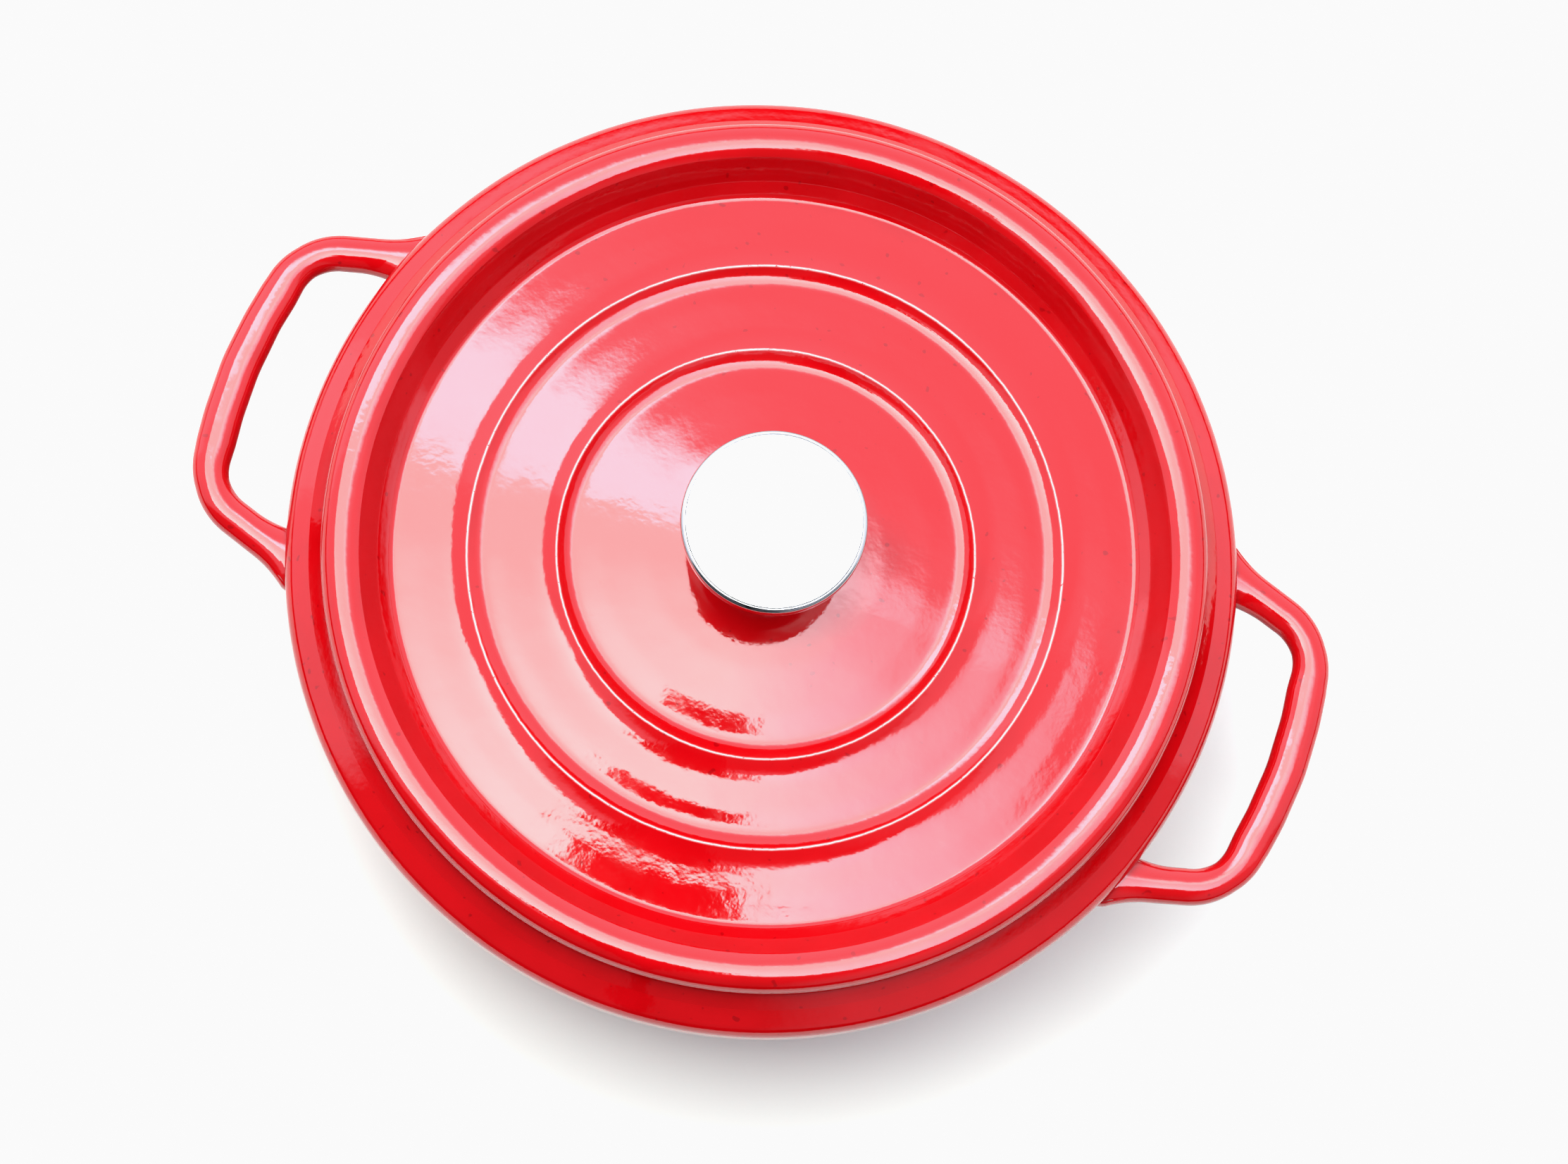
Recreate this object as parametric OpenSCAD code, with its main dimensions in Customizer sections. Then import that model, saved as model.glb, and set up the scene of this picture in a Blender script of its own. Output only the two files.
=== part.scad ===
// Round cast iron dutch oven: an enamelled pot with two cast loop handles, and a
// stepped lid that nests on the pot's seat and carries a screwed-on steel knob.
// Origin: centre of the foot, on the surface that the pot stands on. +Z is up,
// and the handles lie along X. Millimetres.

/* [Pot] */
// Height of the seat that the lid rests on
seat_h = 130; // [110:1:160]
// Radius at the widest line of the rolled rim
rim_r = 146; // [144:0.5:148]
// Height of the rolled rim's widest line below the seat
rim_drop = 15.5; // [15:0.5:18]
// Outer radius of the seat, where the neck starts
seat_r = 133.6; // [132:0.2:134]
// Inner radius of the pot's mouth
mouth_r = 129.5; // [128:0.5:130]
// Outer radius of the foot ring that the pot stands on
foot_r = 108; // [98:1:112]
// Thickness of the cast wall
wall_t = 3.6; // [3.4:0.2:5]
// Thickness of the enamel lining inside the pot and under the lid
lining_t = 0.8; // [0.6:0.1:1.2]

/* [Handles] */
// Distance from the pot's axis to the outside of each grip
grip_r = 178.7; // [176:0.5:186]
// Width of the handle's bar, seen from above
bar_w = 12.2; // [10:0.2:14]
// Height of the handle's bar
bar_h = 9.6; // [8:0.2:11]
// Height of the bar's middle below the seat
bar_drop = 21; // [17:0.5:22]
// Radius of the corner between grip and arm, along the bar's middle
corner_r = 16; // [13:0.5:19]
// Angle about the pot's axis at which the grip ends and the corner starts
grip_angle = 9.6; // [8:0.2:11]
// Angle that each arm opens towards the pot
arm_angle = 16.5; // [12:0.5:20]

/* [Lid] */
// Radius of the lid's thin outer lip
lip_r = 134.6; // [134.4:0.1:135.5]
// Thickness of the flange at the lip
lip_t = 4; // [3:0.5:5]
// Radius of the bead's highest line
bead_r = 128; // [127:0.5:129]
// Height of the bead above the lip
bead_h = 4.5; // [4:0.5:6]
// Radius of the valley between the bead's inner wall and the outer terrace
valley_r = 112; // [110:0.5:113]
// Depth of the valley below the lip
valley_d = 8.6; // [7:0.2:9]
// Slope at which the two terraces climb towards the middle
terrace_slope = 8; // [6:0.5:10]
// Radius of the outer ring's crest
ring_1_r = 90.6; // [86:0.2:94]
// Radius of the inner ring's crest
ring_2_r = 63.6; // [60:0.2:68]
// Width of the hollow curve that climbs to each crest
cove_w = 6.6; // [5:0.2:8]
// Rise of the hollow curve that climbs to each crest
cove_h = 1.8; // [1.2:0.1:2.4]
// Width of the drop behind each crest
back_w = 2.8; // [2:0.2:4]
// Depth of the drop behind each crest
back_h = 1.3; // [0.8:0.1:1.8]
// Rise of the domed middle above the inner ring's gutter
crown_rise = 3.6; // [2.5:0.1:5]
// Thickness of the lid's casting
lid_t = 4; // [3.6:0.2:5]

/* [Knob] */
// Radius of the knob's head
knob_r = 27.7; // [24:0.1:30]
// Height of the knob above its gasket
knob_h = 39.8; // [34:0.2:44]
// Radius of the knob's foot on its gasket
knob_foot_r = 13; // [12:0.5:15]
// Radius of the screw's thread
screw_r = 3; // [2.5:0.5:3]

/* [Hidden] */
$fn = 96;

enamel = "#e0101c";
matt_enamel = "#2b2a2c";
polished_steel = "#b9bcc0";
brushed_steel = "#f2f2f0";
plain_steel = "#8f9296";
silicone = "#3a3a3c";

// Points of an arc about [x, y], from one angle to another.
function arc(x, y, r, from, to, n = 6) =
    [for (i = [0:n]) let (a = from + (to - from) * i / n) [x + r * cos(a), y + r * sin(a)]];

// The same points in the opposite order.
function reversed(p) = [for (i = [len(p) - 1:-1:0]) p[i]];

// A solid of revolution between an outer and an inner run of points.
module turned(outer, inner) {
    rotate_extrude() polygon(concat(outer, reversed(inner)));
}

// A round washer that stands on z = 0.
module washer(outer_r, inner_r, height) {
    difference() {
        cylinder(r = outer_r, h = height);
        translate([0, 0, -1]) cylinder(r = inner_r, h = height + 2);
    }
}

// --- Pot -------------------------------------------------------------------

rim_z = seat_h - rim_drop;       // widest line of the rolled rim
edge_r = 6.4;                    // roundness of the rolled rim's upper edge
edge_low_r = 4;                  // roundness of the rolled rim's lower edge
edge_low_z = rim_z - 1;          // where the rounding of the lower edge starts
rim_slope = 32;                  // fall of the rim's shoulder, degrees
neck_slope = 42;                 // fall of the neck between the seat and the shoulder, degrees
neck_w = 4.4;                    // width of the neck
neck_top_r = seat_r + 0.6;       // where the neck leaves the edge of the seat
neck_top_z = seat_h - 1.2;
under_fillet = 9;                // hollow between the wall and the rim's underside
foot_h = 2;                      // height of the foot ring
foot_w = 9;                      // width of the foot ring
foot_round = 1.6;                // rounding of the foot ring's edge
floor_z = 6.4;                   // top of the pot's cast floor
base_round = 34;                 // outside roundness where wall meets floor
wall_low_r = foot_r + 17;        // outside of the wall where it starts to curve in
inner_low_r = wall_low_r - wall_t;
inner_round = base_round - wall_t;
lean_z = floor_z + inner_round;  // height where the leaning wall starts

// Inner radius of the leaning wall at height z.
function inner_r(z) =
    inner_low_r + (mouth_r - inner_low_r) * (z - lean_z) / (seat_h - lean_z);

wall_lean = atan((mouth_r - inner_low_r) / (seat_h - lean_z));
under_z = rim_z - 13;            // height where the rim's underside leaves the wall

// Foot of the neck, where the shoulder starts.
neck_end_r = neck_top_r + neck_w;
neck_end_z = neck_top_z - neck_w * tan(neck_slope);
// Centre of the rounding between the shoulder and the rim's widest line.
edge_c = rim_r - edge_r;
edge_z = neck_end_z - (edge_c + edge_r * sin(rim_slope) - neck_end_r) * tan(rim_slope)
    - edge_r * cos(rim_slope);

// Outside of the casting, from the middle of its base up to the seat.
pot_outside = concat(
    [[0, foot_h], [foot_r - foot_w, foot_h], [foot_r - foot_w + 0.8, 0]],
    arc(foot_r - foot_round, foot_round, foot_round, -90, -20, 3),
    arc(wall_low_r - base_round, base_round, base_round, -58, -wall_lean, 10),
    arc(inner_r(under_z) + wall_t + under_fillet, under_z, under_fillet, 180 - wall_lean, 118),
    arc(rim_r - edge_low_r, edge_low_z, edge_low_r, -62, 0),
    arc(edge_c, edge_z, edge_r, 0, 90 - rim_slope),
    [[neck_end_r, neck_end_z], [neck_top_r, neck_top_z], [seat_r - 0.6, seat_h - lining_t]]);

// Inside of the pot at depth t within the lining, from the mouth to the floor.
function pot_inside(t = 0) = concat(
    arc(inner_low_r - inner_round, lean_z, inner_round - t, -90, -wall_lean, 12),
    [[mouth_r - t, seat_h - lining_t]]);

module pot() {
    color(enamel) {
        turned(pot_outside, concat([[0, floor_z]], pot_inside()));
        difference() {
            for (side = [0, 180]) rotate([0, 0, side]) loop_handle();
            cylinder(r = mouth_r + 1.5, h = seat_h);
        }
    }
}

// Thin enamel lining: across the floor, up the wall and over the seat.
module pot_lining() {
    color(matt_enamel) turned(
        concat([[0, floor_z]], pot_inside(), [[seat_r - 0.6, seat_h - lining_t],
                                              [seat_r - 0.8, seat_h]]),
        concat([[0, floor_z + lining_t]], pot_inside(lining_t), [[mouth_r, seat_h]]));
}

// --- Handles ---------------------------------------------------------------

bar_z = seat_h - bar_drop;
bar_r = grip_r - bar_w / 2;               // middle of the grip, from the pot's axis
corner_d = bar_r - corner_r;              // corner's centre, from the pot's axis
corner_x = corner_d * cos(grip_angle);
corner_y = corner_d * sin(grip_angle);
arm_turn = 90 - arm_angle;                // direction that the arm's outer side faces
arm_len = 46;                             // reaches through the wall, and is cut there
collar_len = 1;                           // joining band between two stretches of bar
collar_grow = 0.05;                       // how far the joining band stands proud

// The bar's oval cross-section.
module bar_section(grow = 0) {
    n = 20;
    polygon([for (i = [0:n - 1]) let (a = 360 * i / n)
        [(bar_w / 2 + grow) * cos(a), (bar_h / 2 + grow) * sin(a)]]);
}

// A straight stretch of bar that leaves the corner's arc where it has turned so far.
module straight_bar(turn, start, len, grow = 0) {
    rotate([0, 0, turn]) translate([corner_r, start, 0]) rotate([90, 0, 180])
        linear_extrude(len) bar_section(grow);
}

module half_loop() {
    rotate_extrude(angle = grip_angle) translate([bar_r, 0]) bar_section();
    translate([corner_x, corner_y, 0]) {
        rotate([0, 0, grip_angle]) rotate_extrude(angle = arm_turn - grip_angle)
            translate([corner_r, 0]) bar_section();
        straight_bar(arm_turn, 0, arm_len);
        for (turn = [grip_angle, arm_turn])
            straight_bar(turn, -collar_len / 2, collar_len, collar_grow);
    }
}

module loop_handle() {
    translate([0, 0, bar_z]) {
        half_loop();
        mirror([0, 1, 0]) half_loop();
    }
}

// --- Lid -------------------------------------------------------------------

lip_z = seat_h + lip_t;                   // top of the thin lip
lip_round = 0.6;                          // rounding of the lip's edges
bead_round = 7.5;                         // roundness of the bead's inner side
bead_turn = 44;                           // how far the bead's inner side turns down
wall_slope = 52;                          // slope of the wall inside the bead, degrees
valley_round = 4;                         // roundness of the valley
cove_end = 0.5;                           // the curve stops this far outside the crest
gutter_w = 2;                             // width of the narrow gutter behind each drop
gutter_fall = 0.1;                        // fall of the gutter towards the middle
locate_gap = 1;                           // the ring that keeps the lid centred is this free
locate_r = mouth_r - lining_t - locate_gap;
hole_r = screw_r + 0.3;

// How far a terrace climbs between two radii.
function climb(from_r, to_r) = (from_r - to_r) * tan(terrace_slope);

valley_z = lip_z - valley_d;
cove_1_z = valley_z + climb(valley_r, ring_1_r + cove_w);
gutter_1_z = cove_1_z + cove_h - back_h - gutter_fall;
cove_2_z = gutter_1_z + climb(ring_1_r - back_w - gutter_w, ring_2_r + cove_w);
gutter_2_z = cove_2_z + cove_h - back_h - gutter_fall;
crown_r = ring_2_r - back_w - gutter_w;   // edge of the domed middle
crown_z = gutter_2_z + crown_rise;        // flat middle that the knob stands on
crown_flat_r = 14;

// A raised ring from outside to inside: hollow curve, crest, drop, gutter.
function ring(r, z) = concat(
    [for (t = [0:0.25:1]) [r + cove_w - (cove_w - cove_end) * t, z + cove_h * pow(t, 1.4)]],
    [[r, z + cove_h]],
    [[r - back_w, z + cove_h - back_h]],
    [[r - back_w - gutter_w, z + cove_h - back_h - gutter_fall]]);

// Height of the domed middle at radius r.
function crown_at(r) =
    crown_z - crown_rise * pow((r - crown_flat_r) / (crown_r - crown_flat_r), 2);

// Top of the lid, from the flange's underside at the lip to the middle.
lid_top = concat(
    arc(lip_r - lip_round, seat_h + lip_round, lip_round, -90, 0, 3),
    [for (t = [0:10:90]) [bead_r + (lip_r - bead_r) * cos(t),
                          lip_z - lip_round + (bead_h + lip_round) * sin(t)]],
    arc(bead_r, lip_z + bead_h - bead_round, bead_round, 90 + bead_turn / 5, 90 + bead_turn, 4),
    arc(valley_r, valley_z + valley_round, valley_round, wall_slope - 90, -90 - terrace_slope),
    ring(ring_1_r, cove_1_z),
    ring(ring_2_r, cove_2_z),
    [for (r = [crown_r - 7:-8:crown_flat_r + 4]) [r, crown_at(r)]],
    [[crown_flat_r, crown_z], [0, crown_z]]);

// Underside of the lid at depth t within its lining, from the flange to the middle.
under_round = 4;                          // hollow between the locating ring and the underside
locate_h = 3;                             // height of the locating ring's upright side
function lid_under(t = 0) = concat(
    [[locate_r - lining_t + t, seat_h], [locate_r - lining_t + t, seat_h - locate_h]],
    arc(locate_r - under_round - 1, valley_z - lid_t + under_round, under_round + t, -10, -90, 5),
    [[valley_r - 1, valley_z - lid_t - t],
     [ring_1_r + cove_w, cove_1_z - lid_t - t], [ring_1_r - back_w, gutter_1_z - lid_t - t],
     [ring_2_r + cove_w, cove_2_z - lid_t - t], [ring_2_r - back_w, gutter_2_z - lid_t - t]],
    [for (r = [crown_r - 7:-8:crown_flat_r + 4]) [r, crown_at(r) - lid_t - t]],
    [[crown_flat_r, crown_z - lid_t - t], [0, crown_z - lid_t - t]]);

module screw_hole() {
    translate([0, 0, crown_z - 10]) cylinder(r = hole_r, h = 20);
}

module lid() {
    color(enamel) difference() {
        turned(lid_top, lid_under());
        screw_hole();
    }
}

module lid_lining() {
    color(matt_enamel) difference() {
        turned(lid_under(), lid_under(lining_t));
        screw_hole();
    }
}

// --- Knob ------------------------------------------------------------------

gasket_t = 1.5;
knob_z = crown_z + gasket_t;              // underside of the knob's foot
neck_r = 10.5;                            // waist of the knob
neck_z = 5;                               // height of the waist
head_t = 5;                               // depth of the knob's upright edge
edge_round = 0.7;                         // rounding of the head's top edge
cap_r = knob_r - 0.75;                    // radius of the flat top disc
cap_t = 1;                                // thickness of the top disc
insert_r = 6.5;                           // radius of the threaded insert
insert_h = 20;                            // height of the threaded insert
flange_r = 8.5;                           // flange that stops the insert
flange_t = 1.5;

module knob_cap() {
    color(brushed_steel) translate([0, 0, knob_z + knob_h - cap_t])
        cylinder(r = cap_r, h = cap_t);
}

// Mushroom shape: foot, waist, flare up to the upright edge, hollow inside.
module knob_body() {
    flare_h = knob_h - head_t - neck_z;
    flare = [for (t = [0:0.1:1]) [neck_r + (knob_r - 0.6 - neck_r) * pow(t, 2.1),
                                  neck_z + flare_h * t]];
    outer = concat([[insert_r, 0]],
        arc(knob_foot_r - 0.6, 0.6, 0.6, -90, 0, 3),
        [[knob_foot_r, 2], [neck_r + 0.7, 3.2]],
        flare,
        [[knob_r, knob_h - head_t + 0.8]],
        arc(knob_r - edge_round, knob_h - edge_round, edge_round, 0, 90, 4));
    inner = [[insert_r, insert_h - flange_t], [flange_r, insert_h - flange_t],
             [flange_r, insert_h], [cap_r - 3, knob_h - head_t], [cap_r - 3, knob_h - cap_t],
             [cap_r, knob_h - cap_t], [cap_r, knob_h]];
    color(polished_steel) translate([0, 0, knob_z]) turned(outer, inner);
}

// Threaded boss pressed down into the knob's neck, with a flange at its top.
module knob_insert() {
    color(plain_steel) translate([0, 0, knob_z]) difference() {
        union() {
            cylinder(r = insert_r, h = insert_h);
            translate([0, 0, insert_h - flange_t]) cylinder(r = flange_r, h = flange_t);
        }
        translate([0, 0, -1]) cylinder(r = screw_r, h = insert_h + 2);
    }
}

module knob_gasket() {
    color(silicone) translate([0, 0, crown_z]) washer(knob_foot_r - 0.4, hole_r, gasket_t);
}

under_z0 = crown_z - lid_t - lining_t;    // underside of the lid at the screw
washer_t = 1.2;
head_r = 5.5;                             // radius of the screw's head
head_h = 3.4;                             // height of the screw's head
thread_pitch = 1;
thread_depth = 0.5;

module screw_washer() {
    color(plain_steel) translate([0, 0, under_z0 - washer_t])
        washer(9, hole_r, washer_t);
}

// Pan-head screw with a cross recess; the thread is shown as plain grooves.
module knob_screw() {
    z0 = under_z0 - washer_t;
    thread_z = knob_z + 1;
    turns = 13;
    color(plain_steel) difference() {
        rotate_extrude() polygon(concat(
            [[0, z0 - head_h]],
            arc(head_r - 2, z0 - head_h + 2, 2, -90, 0, 4),
            [[head_r, z0], [screw_r - 0.1, z0], [screw_r - 0.1, thread_z]],
            [for (i = [0:turns - 1], s = [[0, 1], [0.5, 0]])
                [screw_r - thread_depth * s[1], thread_z + (i + s[0]) * thread_pitch]],
            [[screw_r - 1, thread_z + turns * thread_pitch], [0, thread_z + turns * thread_pitch]]));
        for (turn = [0, 90]) rotate([0, 0, turn])
            translate([-3, -0.6, z0 - head_h - 1]) cube([6, 1.2, 3]);
    }
}

pot();
pot_lining();
lid();
lid_lining();
knob_cap();
knob_body();
knob_insert();
knob_gasket();
knob_screw();
screw_washer();
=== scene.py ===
"""Looks of a round enamelled cast iron dutch oven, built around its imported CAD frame.

Everything is in metres, in the frame of the part: +Z up along the pot's axis, handles along X.
Sections: dimensions, outlines, mesh tools, materials, pieces, stage and light, camera.
"""

import math

import bmesh
import bpy
import numpy as np
from mathutils import Matrix, Vector, noise


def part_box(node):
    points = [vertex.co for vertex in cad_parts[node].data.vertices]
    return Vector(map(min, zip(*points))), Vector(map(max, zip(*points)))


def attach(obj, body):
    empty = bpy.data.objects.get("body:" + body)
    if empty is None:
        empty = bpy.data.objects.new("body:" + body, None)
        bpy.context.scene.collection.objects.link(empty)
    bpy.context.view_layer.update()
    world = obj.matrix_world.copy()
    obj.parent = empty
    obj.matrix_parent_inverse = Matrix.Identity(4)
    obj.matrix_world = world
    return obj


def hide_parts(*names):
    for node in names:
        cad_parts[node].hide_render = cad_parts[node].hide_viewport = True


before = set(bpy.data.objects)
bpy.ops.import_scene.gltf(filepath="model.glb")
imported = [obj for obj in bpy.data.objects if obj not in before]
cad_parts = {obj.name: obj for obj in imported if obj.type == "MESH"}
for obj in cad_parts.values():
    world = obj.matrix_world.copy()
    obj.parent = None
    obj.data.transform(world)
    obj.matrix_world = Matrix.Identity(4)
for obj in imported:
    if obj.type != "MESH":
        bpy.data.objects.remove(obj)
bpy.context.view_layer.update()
MM = 0.001

# --- Dimensions, in millimetres, worked out from the frame ----------------------------------


def corners(node):
    """Lowest and highest corner of a CAD node, in millimetres."""
    low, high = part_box(node)
    return low / MM, high / MM


pot_high = corners("pot")[1]
lid_high = corners("lid")[1]
lining_high = corners("pot_lining")[1]
knob_low, knob_high = corners("knob_body")
cap_low, cap_high = corners("knob_cap")
gasket_low = corners("knob_gasket")[0]

SEAT_Z = lining_high.z                 # the lid rests here
LINING = SEAT_Z - pot_high.z           # thickness of the dark enamel lining
RIM_R = pot_high.y                     # widest line of the rolled rim
GRIP_R = pot_high.x                    # outside of each grip
LIP_R = lid_high.x                     # outer edge of the lid
LIP_T = 4.0                            # thickness of the lid's lip
LIP_Z = SEAT_Z + LIP_T                 # top of the lid's lip
LID_THICK = 4.0                        # iron of the lid
LID_HOLE_R = 3.4                       # hole for the knob's screw
MOUTH_R = 129.5                        # mouth of the pot, inside its lining
KNOB_R = knob_high.x
CROWN_Z = gasket_low.z                 # flat middle of the lid
RIM_Z = SEAT_Z - 15.5                  # height of the rim's widest line
BAR_Z = SEAT_Z - 21.0                  # height of the handle bar's middle

# --- Outlines -------------------------------------------------------------------------------


def filleted(points, step=2.0, turn=7.0):
    """Dense outline through (x, y) or (x, y, fillet radius) points, in the points' own units."""
    xy = [np.array(p[:2], float) for p in points]
    out = [xy[0]]
    for i in range(1, len(points) - 1):
        radius = points[i][2] if len(points[i]) > 2 else 0.0
        back, ahead = xy[i - 1] - xy[i], xy[i + 1] - xy[i]
        back, ahead = back / np.linalg.norm(back), ahead / np.linalg.norm(ahead)
        half = math.acos(np.clip(back @ ahead, -1, 1)) / 2
        if radius <= 0 or half > math.radians(89.5):
            out.append(xy[i])
            continue
        bend = math.pi - 2 * half
        reach = radius / math.tan(half)
        middle = back + ahead
        centre = xy[i] + middle / np.linalg.norm(middle) * radius / math.sin(half)
        start = xy[i] + back * reach - centre
        side = math.copysign(1.0, start[0] * ahead[1] - start[1] * ahead[0])
        count = max(2, math.ceil(math.degrees(bend) / turn))
        for k in range(count + 1):
            a = side * bend * k / count
            c, s = math.cos(a), math.sin(a)
            out.append(centre + np.array([c * start[0] - s * start[1], s * start[0] + c * start[1]]))
    out.append(xy[-1])
    dense = [out[0]]
    for a, b in zip(out, out[1:]):
        count = max(1, math.ceil(np.linalg.norm(b - a) / step))
        dense += [a + (b - a) * k / count for k in range(1, count + 1) if np.linalg.norm(b - a) > 1e-6]
    return np.array(dense)


def arc(centre, radius, start, end, count=6):
    """Points of an arc about (r, z), between two angles in degrees from the outward direction."""
    return [(centre[0] + radius * math.cos(math.radians(a)), centre[1] + radius * math.sin(math.radians(a)))
            for a in np.linspace(start, end, count + 1)]


def level(points):
    """Outline points given by their height above the lid's lip, moved to real height."""
    return [(p[0], LIP_Z + p[1], *p[2:]) for p in points]


CREST_1, CREST_2 = (90.7, -4.67), (63.6, -2.59)     # the two raised rings, above the lip


def crest(r, z):
    """A thin crisp crest, with points close enough together to carry its pale line of rubbed-thin enamel.
    """
    climb, fall = 0.364, 0.532
    return [(r + 0.5, z - 0.5 * climb), (r + 0.22, z - 0.22 * climb), (r, z, 0.12),
            (r - 0.22, z - 0.22 * fall), (r - 0.5, z - 0.5 * fall)]


LID_TOP = level([
    # flat underside of the lip, its edge, and the round outside of the bead
    (LIP_R - 6.9, -LIP_T), (LIP_R, -LIP_T, 0.4), (LIP_R, -1.2), *arc((129.5, -0.77), 5.1, 0, 80.5, 12),
    # top of the bead, then the steep wall down into the valley
    *arc((128.0, -9.745), 14.2, 82, 90, 4), *arc((128.0, -4.845), 9.3, 92, 119, 8),
    (123.1, 3.05, 0.5), (117.8, -5.1, 2.5), (113.6, -8.87, 3.0),
    # outer terrace, its hollow, and the first ring with the gutter behind it
    (105.0, -7.43, 60), (94.3, -5.98, 28), *crest(*CREST_1), (87.1, -6.58, 9.0),
    # inner terrace and the second ring
    (79.5, -5.33, 60), (67.2, -3.9, 28), *crest(*CREST_2), (59.86, -4.58, 8.0),
    # crown
    (50.0, -3.0, 60), (36.0, -1.25, 60), (24.0, -0.29, 50),
    (14.0, CROWN_Z - LIP_Z, 40), (0.0, CROWN_Z - LIP_Z)])

UNDER_Z = 2.0                          # underside of the pot's floor, inside the foot ring
FOOT_Z = 0.12                          # the foot ring's face, clear of the floor by its own waves
POT_OUTSIDE = [
    # foot ring
    (0.0, UNDER_Z), (97.0, UNDER_Z), (99.3, UNDER_Z, 0.8), (100.0, FOOT_Z, 0.5), (108.0, FOOT_Z, 1.6),
    # round bottom and wall
    (109.0, 5.0, 3.0), (124.0, 10.6, 30.0), (131.0, RIM_Z - 16.0, 30), (131.6, RIM_Z - 5.2, 8.0),
    # rolled rim, then the neck up to the seat
    (RIM_R, RIM_Z - 4.8, 3.6), (RIM_R, RIM_Z + 5.6, 6.4),
    (138.6, SEAT_Z - 5.2, 1.2), (134.3, SEAT_Z - 1.25, 0.4), (133.1, SEAT_Z - LINING)]

# --- Mesh tools -----------------------------------------------------------------------------


def waves(points, size, seed):
    """Smooth noise of about -1 to 1 at each point, for bumps of the given size in millimetres."""
    shift = Vector((seed * 17.3, seed * 5.1, seed * 9.7))
    return np.array([noise.noise(Vector(p) / size + shift) for p in points])


def cast_surface(points, normals, deep=1.0):
    """Moves points along their normals by the slow unevenness of a fired enamel coat."""
    height = deep * (0.10 * waves(points, 26.0, 1) + 0.035 * waves(points, 9.0, 2))
    return points + normals * height[:, None]


def make_mesh(name, points, faces, attributes=None):
    """Smooth-shaded object from points in millimetres, with named values per point."""
    mesh = bpy.data.meshes.new(name)
    mesh.from_pydata((np.asarray(points) * MM).tolist(), [], faces)
    for key, values in (attributes or {}).items():
        mesh.attributes.new(key, "FLOAT", "POINT").data.foreach_set("value", np.asarray(values, float))
    mesh.polygons.foreach_set("use_smooth", [True] * len(mesh.polygons))
    mesh.update()
    piece = bpy.data.objects.new(name, mesh)
    bpy.context.scene.collection.objects.link(piece)
    return piece


def outline_normals(profile):
    """Unit normals of an outline, to the right of its direction of travel."""
    tangent = np.gradient(profile, axis=0)
    tangent /= np.linalg.norm(tangent, axis=1)[:, None] + 1e-12
    return np.stack([tangent[:, 1], -tangent[:, 0]], axis=1)


def lathe(name, profile, segments=400, wave=0.0, closed=False, weights=None, ragged=None):
    """Solid of revolution of an (r, z) outline. A closed outline is a ring without poles.

    weights are named values for each outline point; ragged is how far each outline point's radius
    wanders round the turn.
    """
    profile = np.asarray(profile, float)
    count = len(profile)
    angle = 2 * math.pi * np.arange(segments) / segments
    c, s = np.cos(angle)[:, None], np.sin(angle)[:, None]
    radius = np.repeat(profile[None, :, 0], segments, 0)
    if ragged is not None:
        rough = np.array([noise.noise(Vector((60 * math.cos(a), 60 * math.sin(a), 3.3)))
                          + 0.6 * noise.noise(Vector((25 * math.cos(a), 25 * math.sin(a), 8.1)))
                          for a in angle])
        radius = radius + rough[:, None] * ragged[None, :]
    points = np.stack([radius * c, radius * s, np.repeat(profile[None, :, 1], segments, 0)], 2)
    points = points.reshape(-1, 3)
    flat = outline_normals(profile)
    normals = np.stack([flat[None, :, 0] * c, flat[None, :, 0] * s,
                        np.repeat(flat[None, :, 1], segments, 0)], 2).reshape(-1, 3)
    if wave:
        points = cast_surface(points, normals, wave)
    values = {key: np.tile(row, segments) for key, row in (weights or {}).items()}
    index = np.arange(segments * count).reshape(segments, count)
    ahead = np.roll(index, -1, axis=0)
    if closed:
        index, ahead = (np.concatenate([m, m[:, :1]], 1) for m in (index, ahead))
    on_axis = [not closed and profile[k, 0] < 1e-6 for k in (0, -1)]
    lo, hi = int(on_axis[0]), index.shape[1] - 1 - on_axis[1]
    quads = np.stack([index[:, lo:hi], ahead[:, lo:hi], ahead[:, lo + 1:hi + 1],
                      index[:, lo + 1:hi + 1]], 2).reshape(-1, 4)
    faces = quads.tolist()
    for end, ring, flip in ((0, lo, False), (-1, hi, True)):
        if on_axis[end]:
            pole = index[0, end]
            pairs = np.stack([index[:, ring], ahead[:, ring]], 1)
            pairs = pairs[:, ::-1] if flip else pairs
            faces += [[int(pole), int(b), int(a)] for a, b in pairs]
    piece = make_mesh(name, points, faces, values)
    if any(on_axis):
        drop_loose(piece)
    return piece


def drop_loose(piece):
    """Removes points that no face uses."""
    work = bmesh.new()
    work.from_mesh(piece.data)
    bmesh.ops.delete(work, geom=[v for v in work.verts if not v.link_faces], context="VERTS")
    work.to_mesh(piece.data)
    work.free()


# --- Materials ------------------------------------------------------------------------------


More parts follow.
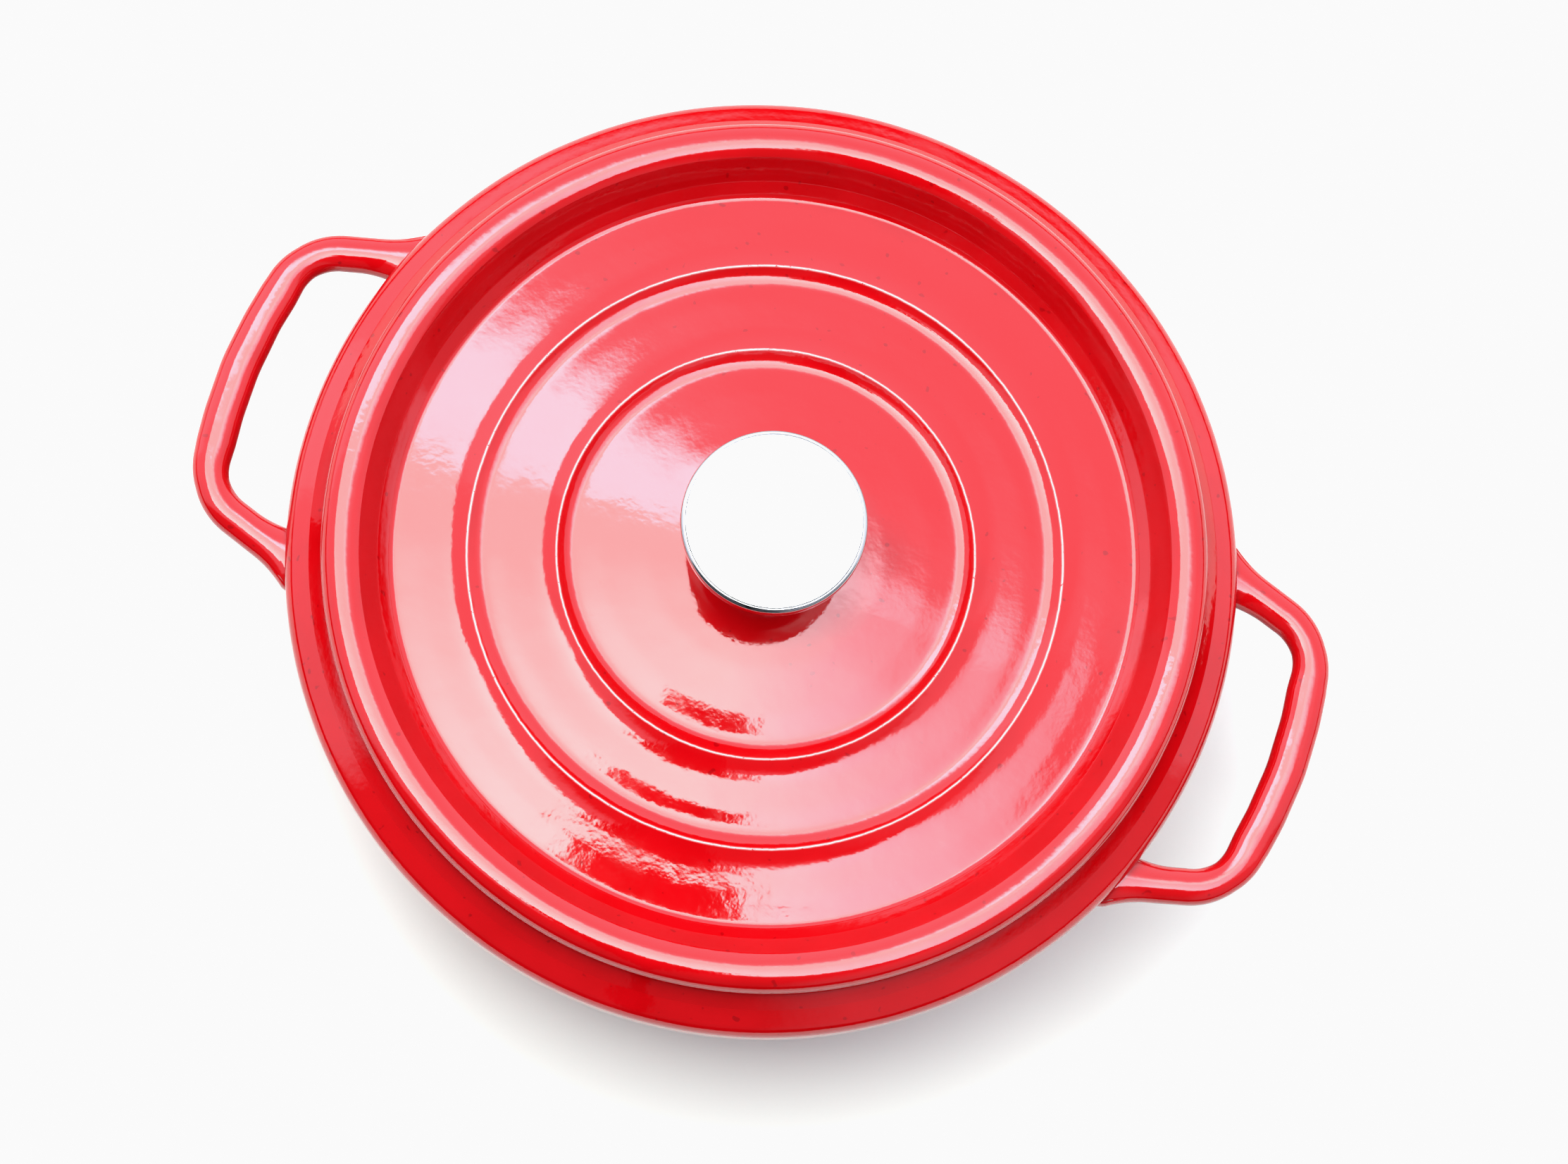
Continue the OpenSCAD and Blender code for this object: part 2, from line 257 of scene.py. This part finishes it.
class Graph:
    """Short names for building a node graph."""

    def __init__(self, tree):
        self.tree = tree
        tree.nodes.clear()

    def node(self, kind, settings=None, **inputs):
        made = self.tree.nodes.new(kind)
        for key, value in (settings or {}).items():
            setattr(made, key, value)
        for key, value in inputs.items():
            self.put(made.inputs[int(key[1:]) if key[0] == "i" and key[1:].isdigit()
                                 else key.replace("_", " ")], value)
        return made

    def put(self, socket, value):
        if isinstance(value, bpy.types.NodeSocket):
            self.tree.links.new(value, socket)
        else:
            socket.default_value = value

    def math(self, how, a, b=0.0, c=0.0, clamp=False):
        return self.node("ShaderNodeMath", {"operation": how, "use_clamp": clamp},
                         i0=a, i1=b, i2=c).outputs[0]

    def product(self, first, *others):
        for other in others:
            first = self.math("MULTIPLY", first, other)
        return first

    def ramp(self, value, low, high, to_low=0.0, to_high=1.0):
        """Smooth step from to_low at low to to_high at high."""
        made = self.node("ShaderNodeMapRange", {"interpolation_type": "SMOOTHSTEP"}, Value=value,
                         From_Min=low, From_Max=high, To_Min=to_low, To_Max=to_high)
        return made.outputs["Result"]

    def line(self, value, low, high, to_low, to_high):
        """Straight change from to_low at low to to_high at high, level beyond."""
        return self.node("ShaderNodeMapRange", None, Value=value, From_Min=low, From_Max=high,
                         To_Min=to_low, To_Max=to_high).outputs["Result"]

    def mix(self, share, a, b):
        made = self.node("ShaderNodeMix", {"data_type": "RGBA"}, Factor=share)
        self.put(made.inputs[6], a)
        self.put(made.inputs[7], b)
        return made.outputs[2]

    def noise(self, where, scale, detail=2.0, roughness=0.5):
        return self.node("ShaderNodeTexNoise", None, Vector=where, Scale=scale, Detail=detail,
                         Roughness=roughness).outputs["Fac"]

    def bump(self, height, depth, strength=1.0, before=None):
        made = self.node("ShaderNodeBump", None, Height=height, Distance=depth, Strength=strength)
        if before is not None:
            self.put(made.inputs["Normal"], before)
        return made.outputs["Normal"]


def material(name, build, **constants):
    """Principled material; build(graph) returns the linked inputs, constants sit on the sockets."""
    made = bpy.data.materials.new(name)
    made.use_nodes = True
    graph = Graph(made.node_tree)
    shader = graph.node("ShaderNodeBsdfPrincipled")
    for key, value in constants.items():
        shader.inputs[key.replace("_", " ")].default_value = value
    for key, value in build(graph).items():
        graph.put(shader.inputs[key], value)
    out = graph.node("ShaderNodeOutputMaterial")
    made.node_tree.links.new(shader.outputs[0], out.inputs[0])
    return made


def place(graph):
    return graph.node("ShaderNodeTexCoord").outputs["Object"]


def enamel(graph):
    """Deep red glass coat: slow unevenness, orange peel, pale rubbed-thin enamel on the crisp crests, a
    painted highlight along the lid's lip, rare pits.
    """
    where = place(graph)
    slow = graph.noise(where, 45.0, 3.0)
    peel = graph.noise(where, 260.0, 2.0, 0.55)
    fine = graph.noise(where, 900.0, 1.0)
    height = graph.math("MULTIPLY_ADD", peel, 0.55, slow)
    height = graph.math("MULTIPLY_ADD", fine, 0.10, height)
    pits = graph.ramp(graph.noise(where, 420.0, 0.0), 0.17, 0.22, 1.0, 0.0)
    colour = graph.mix(graph.ramp(slow, 0.3, 0.7), (0.40, 0.0009, 0.0022, 1), (0.44, 0.0015, 0.0034, 1))
    colour = graph.mix(graph.math("MULTIPLY", pits, 0.5), colour, (0.16, 0.0, 0.001, 1))
    # pale mask: rubbed-thin enamel along the lid's crests, and a painted highlight along the lid's lip
    wear_and_lip_highlight = graph.node("ShaderNodeAttribute", {"attribute_name": "wear_and_lip_highlight"}).outputs["Fac"]
    broken = graph.ramp(graph.noise(where, 900.0, 3.0, 0.7), 0.28, 0.42)
    pale = graph.math("MULTIPLY", wear_and_lip_highlight, broken)
    colour = graph.mix(pale, colour, (0.82, 0.66, 0.62, 1))
    rough = graph.ramp(graph.noise(where, 60.0, 4.0, 0.7), 0.3, 0.8, 0.045, 0.10)
    rough = graph.math("MULTIPLY_ADD", pale, 0.3, rough)
    return {"Base Color": colour, "Roughness": rough, "Normal": graph.bump(height, 0.00007)}


def satin_enamel(graph):
    """Dark satin lining with fine pale specks."""
    where = place(graph)
    cells = graph.node("ShaderNodeTexVoronoi", None, Vector=where, Scale=650.0).outputs["Distance"]
    speck = graph.ramp(cells, 0.10, 0.16, 1.0, 0.0)
    mottle = graph.noise(where, 90.0, 4.0, 0.6)
    colour = graph.mix(mottle, (0.011, 0.011, 0.012, 1), (0.026, 0.026, 0.028, 1))
    colour = graph.mix(graph.math("MULTIPLY", speck, 0.45), colour, (0.16, 0.16, 0.165, 1))
    rough = graph.ramp(mottle, 0.3, 0.7, 0.30, 0.42)
    height = graph.math("MULTIPLY_ADD", cells, 0.15, graph.noise(where, 300.0, 3.0))
    return {"Base Color": colour, "Roughness": rough, "Normal": graph.bump(height, 0.00012)}


def turned(graph, scale, depth):
    """Height of fine grooves that run round the Z axis, and the noise they come from."""
    x, y, z = graph.node("ShaderNodeSeparateXYZ", None, Vector=place(graph)).outputs
    radius = graph.math("SQRT", graph.math("ADD", graph.math("MULTIPLY", x, x),
                                           graph.math("MULTIPLY", y, y)))
    along = graph.node("ShaderNodeCombineXYZ", None, X=graph.math("ADD", radius, z),
                       Y=graph.math("MULTIPLY", x, 0.02), Z=graph.math("MULTIPLY", y, 0.02))
    grooves = graph.noise(along.outputs[0], scale, 4.0, 0.7)
    return grooves, graph.bump(grooves, depth)


def turned_steel(graph):
    grooves, normal = turned(graph, 2600.0, 0.00002)
    colour = graph.mix(grooves, (0.80, 0.80, 0.79, 1), (0.93, 0.93, 0.925, 1))
    return {"Base Color": colour, "Roughness": graph.ramp(grooves, 0.3, 0.7, 0.16, 0.30),
            "Normal": normal}


def polished_steel(graph):
    grooves, normal = turned(graph, 1800.0, 0.000006)
    smear = graph.noise(place(graph), 120.0, 3.0)
    colour = graph.mix(grooves, (0.44, 0.445, 0.45, 1), (0.56, 0.565, 0.57, 1))
    return {"Base Color": colour, "Roughness": graph.ramp(smear, 0.3, 0.8, 0.06, 0.16),
            "Normal": normal}


def plain_steel(graph):
    grooves, normal = turned(graph, 1500.0, 0.00003)
    stain = graph.noise(place(graph), 200.0, 4.0)
    colour = graph.mix(stain, (0.42, 0.42, 0.43, 1), (0.60, 0.61, 0.62, 1))
    return {"Base Color": colour, "Roughness": graph.ramp(grooves, 0.3, 0.7, 0.25, 0.40),
            "Normal": normal}


def silicone(graph):
    grain = graph.noise(place(graph), 1400.0, 3.0)
    colour = graph.mix(grain, (0.016, 0.016, 0.017, 1), (0.034, 0.034, 0.036, 1))
    return {"Base Color": colour, "Roughness": graph.ramp(grain, 0.3, 0.7, 0.5, 0.65),
            "Normal": graph.bump(grain, 0.00003)}


def paper_white(graph):
    grain = graph.noise(place(graph), 900.0, 3.0)
    colour = graph.mix(grain, (0.695, 0.73, 0.65, 1), (0.715, 0.75, 0.67, 1))
    return {"Base Color": colour, "Roughness": graph.ramp(grain, 0.3, 0.7, 0.8, 0.9)}


RED = material("red_enamel", enamel, IOR=1.52)
SATIN = material("matt_enamel", satin_enamel, IOR=1.5)
TURNED = material("turned_steel", turned_steel, Metallic=1.0)
POLISHED = material("polished_steel", polished_steel, Metallic=1.0)
PLAIN = material("plain_steel", plain_steel, Metallic=1.0)
SILICONE = material("silicone", silicone)


def finished(piece, body, node, look):
    """Material, body, CAD node and slot of a finished piece."""
    piece.data.materials.append(look)
    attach(piece, body)
    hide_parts(node)
    return piece


# --- Pot ------------------------------------------------------------------------------------

FLOOR_Z = 6.4                          # top of the pot's inside floor, under its lining
POT_TURNS = 420                        # points round the pot's outline


def inner_wall(depth):
    """Inside of the pot, from the middle of the floor to the mouth, at a depth inside the wall."""
    return [(0.0, FLOOR_Z + depth), (116.2 - depth, FLOOR_Z + depth, 30.4 - depth),
            (MOUTH_R - depth, pot_high.z)]


pot_outside = filleted(POT_OUTSIDE, 3.0, 7.0)


def pot_shell():
    outline = np.concatenate([pot_outside, filleted(inner_wall(0.0), 4.0, 9.0)[::-1]])
    piece = lathe("pot_shell", outline, POT_TURNS, 1.0)
    return finished(piece, "pot", "pot", RED)


def pot_lining():
    outline = np.concatenate([
        filleted(inner_wall(LINING) + [(MOUTH_R, SEAT_Z, 0.5), (LIP_R - 1.8, SEAT_Z, 0.3),
                                       (LIP_R - 1.5, pot_high.z)], 4.0, 9.0),
        filleted(inner_wall(0.0), 4.0, 9.0)[::-1]])
    piece = lathe("pot_lining_coat", outline, 320, 0.5)
    return finished(piece, "pot", "pot_lining", SATIN)


# --- Handles --------------------------------------------------------------------------------

rim_wall = pot_outside[(pot_outside[:, 1] > 20) & (pot_outside[:, 0] > 100)]
GRIP_W, ARM_W, CORNER_W, BAR_H = 12.4, 11.4, 10.7, 9.6      # widths along the bar, and its height
ROUND = 2.3                            # squareness of the bar's oval
FLARE_LONG = 10.0                      # the bar widens over this distance before the rim
FLARE_SIDE, FLARE_TOP = 2.3, 0.5       # how much it widens there, beside and above
SINK = 1.9                             # depth in the pot's metal at which the bar ends
bar_path = filleted([(GRIP_R - 7.1, -16), (GRIP_R - GRIP_W / 2 + 0.09, 0, 60), (GRIP_R - 7.1, 16, 60),
                     (GRIP_R - 10.8, 41.6, 19), (108.0, 59.86)], 0.5, 1.6)
half_path = bar_path[bar_path[:, 1] > -1e-6]
path_s = np.concatenate([[0], np.cumsum(np.linalg.norm(np.diff(half_path, axis=0), axis=1))])
CORNER_S = 38.5                        # distance along the bar to the middle of its corner
ARM_S = 50.0                           # distance along the bar to the straight arm


def bar_width(s):
    return np.interp(s, [0, 25, CORNER_S, 52, 90], [GRIP_W, GRIP_W - 0.1, CORNER_W, ARM_W, ARM_W])


def pot_distance(points):
    """Distance to the outside of the pot in millimetres, negative inside it."""
    r = np.hypot(points[:, 0], points[:, 1])
    flat = np.stack([r, points[:, 2]], 1)
    a, b = rim_wall[:-1], rim_wall[1:]
    ab = b - a
    t = np.einsum("nmk,mk->nm", flat[:, None] - a, ab) / (ab ** 2).sum(1)
    near = a + np.clip(t, 0, 1)[..., None] * ab
    gap = np.linalg.norm(flat[:, None] - near, axis=2)
    side = np.sign(r - np.interp(flat[:, 1], rim_wall[:, 1], rim_wall[:, 0]))
    return gap.min(1) * side


def bar_surface(s, theta):
    """Points on the bar at a distance s along it and an angle round it, and its normals there."""
    x, y = (np.interp(s, path_s, half_path[:, k]) for k in (0, 1))
    tangent = np.stack([np.interp(s, path_s, np.gradient(half_path[:, k], path_s)) for k in (0, 1)])
    tangent = tangent / np.linalg.norm(tangent, axis=0)
    c, w = np.cos(theta), np.sin(theta)
    rho = (np.abs(c) ** ROUND + np.abs(w) ** ROUND) ** (-1 / ROUND)
    half_w, half_h = bar_width(s) / 2, BAR_H / 2
    out, up = half_w * rho * c, half_h * rho * w
    steep_out = np.sign(c) * np.abs(rho * c) ** (ROUND - 1) / half_w
    steep_up = np.sign(w) * np.abs(rho * w) ** (ROUND - 1) / half_h
    size = np.hypot(steep_out, steep_up)
    steep_out, steep_up = steep_out / size, steep_up / size
    points = np.stack([x + tangent[1] * out, y - tangent[0] * out, BAR_Z + up], 1)
    return points, np.stack([tangent[1] * steep_out, -tangent[0] * steep_out, steep_up], 1)


def root_reach(theta):
    """Distance along the bar at which its surface is well inside the pot's metal, round the bar."""
    s = np.linspace(45, path_s[-1] - 0.5, 260)
    grid_s, grid_t = np.meshgrid(s, theta, indexing="ij")
    gap = pot_distance(bar_surface(grid_s.ravel(), grid_t.ravel())[0]).reshape(grid_s.shape)
    return s[np.argmax(gap < -SINK, axis=0)]


def half_handle(around=64):
    """Rings of points from the middle of the grip to the root, where the bar flares under the rim."""
    theta = 2 * math.pi * (np.arange(around) + 0.5) / around
    reach = root_reach(theta)
    free = [np.full(around, s) for s in np.linspace(0, ARM_S, 84)]
    root = [ARM_S + (reach - ARM_S) * k for k in np.linspace(0, 1, 61)[1:]]
    rows = []
    for s in free + root:
        points, normals = bar_surface(s, theta)
        upright = normals[:, 2] ** 2
        grow = FLARE_SIDE + (FLARE_TOP - FLARE_SIDE) * upright
        away = np.hypot(points[:, 0], points[:, 1]) - RIM_R
        rows.append(points + normals * (grow * np.clip(1 - away / FLARE_LONG, 0, 1) ** 2)[:, None])
    return np.stack(rows)


def handle(name, side):
    half = half_handle()
    mirrored = half[:0:-1] * np.array([1, -1, 1])
    grid = np.concatenate([mirrored, half]) * np.array([side, 1, 1])
    rows, around = grid.shape[:2]
    points = grid.reshape(-1, 3)
    index = np.arange(rows * around).reshape(rows, around)
    beside = np.roll(index, -1, axis=1)
    quads = np.stack([index[:-1], beside[:-1], beside[1:], index[1:]], 2).reshape(-1, 4)
    quads = quads if side < 0 else quads[:, ::-1]
    along = np.gradient(grid, axis=0)
    round_ = np.roll(grid, -1, axis=1) - np.roll(grid, 1, axis=1)
    normals = np.cross(round_, along).reshape(-1, 3) * (-side)
    normals /= np.linalg.norm(normals, axis=1)[:, None] + 1e-9
    away = points * np.array([side, 1, 1])
    free = np.clip(pot_distance(away) / 12, 0, 1)
    points = cast_surface(points, normals, 1.0)
    points = points + normals * (0.07 * free * waves(points, 11.0, 5))[:, None]
    piece = make_mesh(name, points, quads.tolist())
    return finished(piece, "pot", "pot", RED)


# --- Lid ------------------------------------------------------------------------------------


CREST_WORN, CREST_RAGGED = 0.21, 0.8   # half widths of a crest's pale line and of its wandering
LIP_HIGHLIGHT_HALF_WIDTH = 0.10                        # half width of the painted highlight along the lip's edge


def lid_shell():
    top = filleted(LID_TOP, 1.7, 8.0)
    hole = filleted([(LID_HOLE_R, CROWN_Z), (LID_HOLE_R, CROWN_Z - LID_THICK)], 2.0)
    lining = filleted(lid_lining_points(0.0), 3.5, 12.0)[::-1]
    top = top[top[:, 0] > LID_HOLE_R]
    outline = np.concatenate([top, hole, lining])
    r, z = outline.T
    is_top = np.arange(len(outline)) < len(top)
    wear_and_lip_highlight, ragged = np.zeros(len(outline)), np.zeros(len(outline))
    for ring, _ in (CREST_1, CREST_2):
        near = np.abs(r - ring)
        wear_and_lip_highlight = np.maximum(wear_and_lip_highlight, is_top * 0.9 * np.exp(-(near / CREST_WORN) ** 2))
        ragged = np.maximum(ragged, is_top * 0.10 * np.exp(-(near / CREST_RAGGED) ** 2))
    # painted highlight: a pale line along the lip's edge stands in for light caught on its rounded edge
    lip = 0.6 * np.exp(-((r - LIP_R) / LIP_HIGHLIGHT_HALF_WIDTH) ** 2) * (z > LIP_Z - 1.1)
    wear_and_lip_highlight = np.maximum(wear_and_lip_highlight, lip)
    piece = lathe("lid_shell", outline, 440, 1.0, closed=True,
                  weights={"wear_and_lip_highlight": np.clip(wear_and_lip_highlight, 0, 1)}, ragged=ragged)
    return finished(piece, "lid", "lid", RED)


def lid_lining_points(depth):
    """Underside of the lid's casting, from the flange to the screw hole, at a depth into its coat."""
    drop = LID_THICK + depth
    return level([
        (LIP_R - 7.7 + depth, -LIP_T), (LIP_R - 7.7 + depth, -6.5, 2.0),
        (LIP_R - 11.5 + depth, -8.6 - drop, 4.0 + depth), (112.0, -8.6 - drop, 8),
        (97.2, -6.5 - drop, 6), (87.8, -6.1 - drop, 6), (70.2, -3.9 - drop, 6), (60.8, -3.4 - drop, 6),
        (50.0, -3.0 - drop, 60), (36.0, -1.25 - drop, 60), (24.0, -0.29 - drop, 50),
        (14.0, CROWN_Z - LIP_Z - drop, 30), (LID_HOLE_R, CROWN_Z - LIP_Z - drop)])


def lid_lining():
    outline = np.concatenate([filleted(lid_lining_points(0.0), 3.0, 12.0),
                              filleted(lid_lining_points(LINING), 3.0, 9.0)[::-1]])
    piece = lathe("lid_lining_coat", outline[::-1], 320, 0.5, closed=True)
    return finished(piece, "lid", "lid_lining", SATIN)


# --- Knob -----------------------------------------------------------------------------------


DISC_R = cap_high.x - 0.6              # outer edge of the turned disc, inside the knob's rounded edge


def knob_cap():
    """Flat turned disc with a softened edge, level with the knob's own edge."""
    r, low, high = DISC_R, cap_low.z, cap_high.z
    outline = filleted([(0, low), (r - 0.1, low, 0.1), (r - 0.1, high - 0.02, 0.25),
                        (r - 3.0, high), (0, high)], 1.2, 15.0)
    return finished(lathe("knob_top_disc", outline, 256), "lid", "knob_cap", TURNED)


def knob_body():
    """Hollow knob: foot, waist, flaring underside, rounded edge, disc's seat and inside."""
    low, high, r = knob_low.z, knob_high.z, KNOB_R
    foot_r, bore_r, flange_r, flange_z = 13.0, 6.6, 8.6, low + 18.5
    outline = filleted([
        (bore_r, low), (foot_r, low, 0.6), (foot_r, low + 2.2, 0.5), (11.2, low + 3.0, 0.8),
        (10.4, low + 8.0, 12), (11.6, low + 16.0, 20), (17.5, low + 26.5, 30),
        (r - 0.9, high - 5.4, 2.5), (r, high - 4.4, 0.8), (r, high - 0.1, 1.25),
        (DISC_R, high - 0.1, 0.12), (DISC_R, high - 1.0), (DISC_R - 3, high - 1.0),
        (DISC_R - 3, high - 5.0), (flange_r, flange_z + 1.5), (flange_r, flange_z), (bore_r, flange_z)],
        1.2, 8.0)
    piece = lathe("knob_grip", outline, 256, closed=True)
    return finished(piece, "lid", "knob_body", POLISHED)


def ring_piece(name, node, look, softness=0.35):
    """Flat ring with softened edges in the place of a CAD washer."""
    low, high = corners(node)
    hole = LID_HOLE_R - 0.1
    mid = (hole + high.x) / 2
    outline = filleted([(mid, low.z), (high.x, low.z, softness), (high.x, high.z, softness),
                        (hole, high.z, softness), (hole, low.z, softness), (mid, low.z)], 0.8, 20.0)
    return finished(lathe(name, outline[:-1], 128, closed=True), "lid", node, look)


def cad_piece(node, look):
    """A CAD node that stays, with a finish of its own."""
    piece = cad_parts[node]
    piece.data.materials.clear()
    piece.data.materials.append(look)


pot_shell()
pot_lining()
handle("handle_right", 1)
handle("handle_left", -1)
lid_shell()
lid_lining()
knob_cap()
knob_body()
ring_piece("knob_seal", "knob_gasket", SILICONE)
ring_piece("spread_washer", "screw_washer", PLAIN)
cad_piece("knob_insert", PLAIN)
cad_piece("knob_screw", PLAIN)

# --- Stage and light ------------------------------------------------------------------------
# u and v are slopes from the zenith: to the right of the camera's line, and away from the camera.

PANEL_FAR, PANEL_NEAR = 9.7, 15.9     # brightness of the overhead softbox, away and near
SEAM = 15.5                            # brightness of the lit seam along its far left side
ROOM_SIDE, ROOM_BACK = 1.4, 2.4        # brightness of the white surroundings, beside and behind
WHITE = 0.957                          # brightest white of the picture
BACKDROP = 0.95                        # white that the camera sees past the floor
GLOW = 3.2                             # extra brightness along the softbox's far right side
HALO = 0.7                             # glow of the surroundings next to the softbox
BOUNCE = 1.2                           # brightness of the high bounce card on the right
SIDE = 0.5                             # brightness of the right side
DIM = 0.12                             # brightness of the unlit side
CAMERA_TURN = 5.25                     # degrees from the handles' line to the camera's own
ROOM_TURN = 17.0                       # degrees that the white surroundings are turned to the left


def turned_direction(g, degrees):
    """Direction of the light, turned about Z, as x, y, z outputs."""
    spot = g.node("ShaderNodeVectorRotate", {"rotation_type": "Z_AXIS"},
                  Vector=g.node("ShaderNodeTexCoord").outputs["Generated"],
                  Angle=math.radians(degrees))
    return g.node("ShaderNodeSeparateXYZ", None, Vector=spot.outputs[0]).outputs


def softbox(g, u, v):
    """Overhead softbox by slope from the zenith: its light, its share of the sky and its lit seam."""
    inside = g.product(g.ramp(u, -0.50, -0.47), g.ramp(u, 0.35, 0.42, 1.0, 0.0),
                       g.ramp(v, -0.20, -0.18))
    far_side = g.math("MULTIPLY_ADD", u, 0.32, v)
    share = g.product(inside, g.ramp(far_side, 0.25, 0.40, 1.0, 0.0))
    seam = g.product(g.ramp(u, -0.10, -0.02, 1.0, 0.0), g.ramp(v, 0.235, 0.25))
    flat = g.line(v, -0.15, 0.15, PANEL_NEAR, PANEL_FAR)
    light = g.math("MULTIPLY_ADD", seam, SEAM - PANEL_FAR, flat)
    light = g.product(light, g.line(u, 0.0, 0.36, 1.0, 0.50))
    glow = g.product(g.ramp(u, -0.02, 0.10), g.ramp(v, 0.14, 0.21))
    light = g.math("MULTIPLY_ADD", glow, GLOW, light)
    return g.product(light, share), share, seam


def surroundings(g, x, u, v):
    """White room behind and beside the pot, high card on the right and glow by the softbox."""
    _, behind, height = turned_direction(g, -ROOM_TURN - CAMERA_TURN)
    white = g.product(g.ramp(behind, -0.32, -0.20), g.line(behind, -0.2, 0.9, ROOM_SIDE, ROOM_BACK))
    room = g.math("MAXIMUM", g.math("MAXIMUM", white, DIM), g.ramp(x, 0.2, 0.5, 0.0, SIDE))
    room = g.product(room, g.ramp(height, 0.09, 0.20))
    card = g.product(g.ramp(u, 0.36, 0.42, 0.0, BOUNCE), g.ramp(u, 0.9, 1.4, 1.0, 0.0),
                     g.ramp(v, -0.2, 0.0), g.ramp(height, 0.0, 0.2))
    halo = g.ramp(g.math("MULTIPLY_ADD", u, 0.32, v), 0.35, 0.60, HALO, 0.0)
    return g.math("ADD", g.math("MAXIMUM", room, card), g.product(halo, g.ramp(v, 0.2, 0.3)))


def sky():
    """Studio light by direction. The camera itself sees plain pale white behind everything."""
    world = bpy.data.worlds.new("studio")
    world.use_nodes = True
    bpy.context.scene.world = world
    g = Graph(world.node_tree)
    x, y, z = turned_direction(g, -CAMERA_TURN)
    up = g.math("MAXIMUM", z, 0.001)
    u, v = g.math("DIVIDE", x, up), g.math("DIVIDE", y, up)
    panel, share, seam = softbox(g, u, v)
    outside = g.math("SUBTRACT", 1.0, share)
    light = g.math("ADD", panel, g.product(surroundings(g, x, u, v), outside))
    photographer = g.product(g.ramp(g.math("ABSOLUTE", g.math("ADD", u, 0.03)), 0.085, 0.11, 1.0, 0.0),
                             g.ramp(v, -0.125, -0.10, 1.0, 0.0))
    light = g.product(light, g.math("SUBTRACT", 1.0, photographer))
    cool = g.math("MAXIMUM", g.math("MAXIMUM", g.ramp(u, -0.05, 0.3), seam), outside)
    colour = g.mix(cool, (1.0, 1.0, 1.0, 1), (0.97, 1.0, 1.17, 1))
    seen = g.node("ShaderNodeLightPath").outputs["Is Camera Ray"]
    light = g.node("ShaderNodeMix", {"data_type": "FLOAT"}, i0=seen, i2=light, i3=BACKDROP).outputs[0]
    back = g.node("ShaderNodeBackground", None, Color=colour, Strength=light)
    out = g.node("ShaderNodeOutputWorld")
    world.node_tree.links.new(back.outputs[0], out.inputs[0])


def floor():
    front, far = -620.0, 6000.0            # the white table ends in front of the pot
    piece = make_mesh("studio_floor", [(-far, front, 0), (far, front, 0), (far, far, 0), (-far, far, 0)],
                      [(0, 1, 2, 3)])
    piece.data.materials.append(material("studio_white", paper_white))


sky()
floor()


def film():
    """Plain display, with the brightest white held just under full, as studio pictures are."""
    view = bpy.context.scene.view_settings
    view.view_transform = "Standard"
    view.use_curve_mapping = True
    view.curve_mapping.extend = "HORIZONTAL"
    view.curve_mapping.curves[3].points[1].location = (1.0, WHITE)
    view.curve_mapping.update()


film()

# --- Camera ---------------------------------------------------------------------------------

SIGHT_HEIGHT = 77.654                  # degrees above the horizon
ROLL = 16.0385                         # degrees that the frame is turned about the sight line
DISTANCE = 1500.0
LENS = 113.83
TARGET = Vector((8.348, -7.121, LIP_Z))


def camera():
    high, turn, roll = (math.radians(a) for a in (SIGHT_HEIGHT, CAMERA_TURN, ROLL))
    back = Vector((math.cos(high) * math.sin(turn), -math.cos(high) * math.cos(turn),
                   math.sin(high)))
    right = Vector((math.cos(turn), math.sin(turn), 0))
    up = back.cross(right)
    across = math.cos(roll) * right + math.sin(roll) * up
    above = math.cos(roll) * up - math.sin(roll) * right
    data = bpy.data.cameras.new("camera")
    data.lens, data.clip_start, data.clip_end = LENS, 0.05, 50.0
    made = bpy.data.objects.new("camera", data)
    bpy.context.scene.collection.objects.link(made)
    place_at = (TARGET + back * DISTANCE) * MM
    made.matrix_world = Matrix(((across.x, above.x, back.x, place_at.x),
                                (across.y, above.y, back.y, place_at.y),
                                (across.z, above.z, back.z, place_at.z), (0, 0, 0, 1)))
    bpy.context.scene.camera = made


camera()
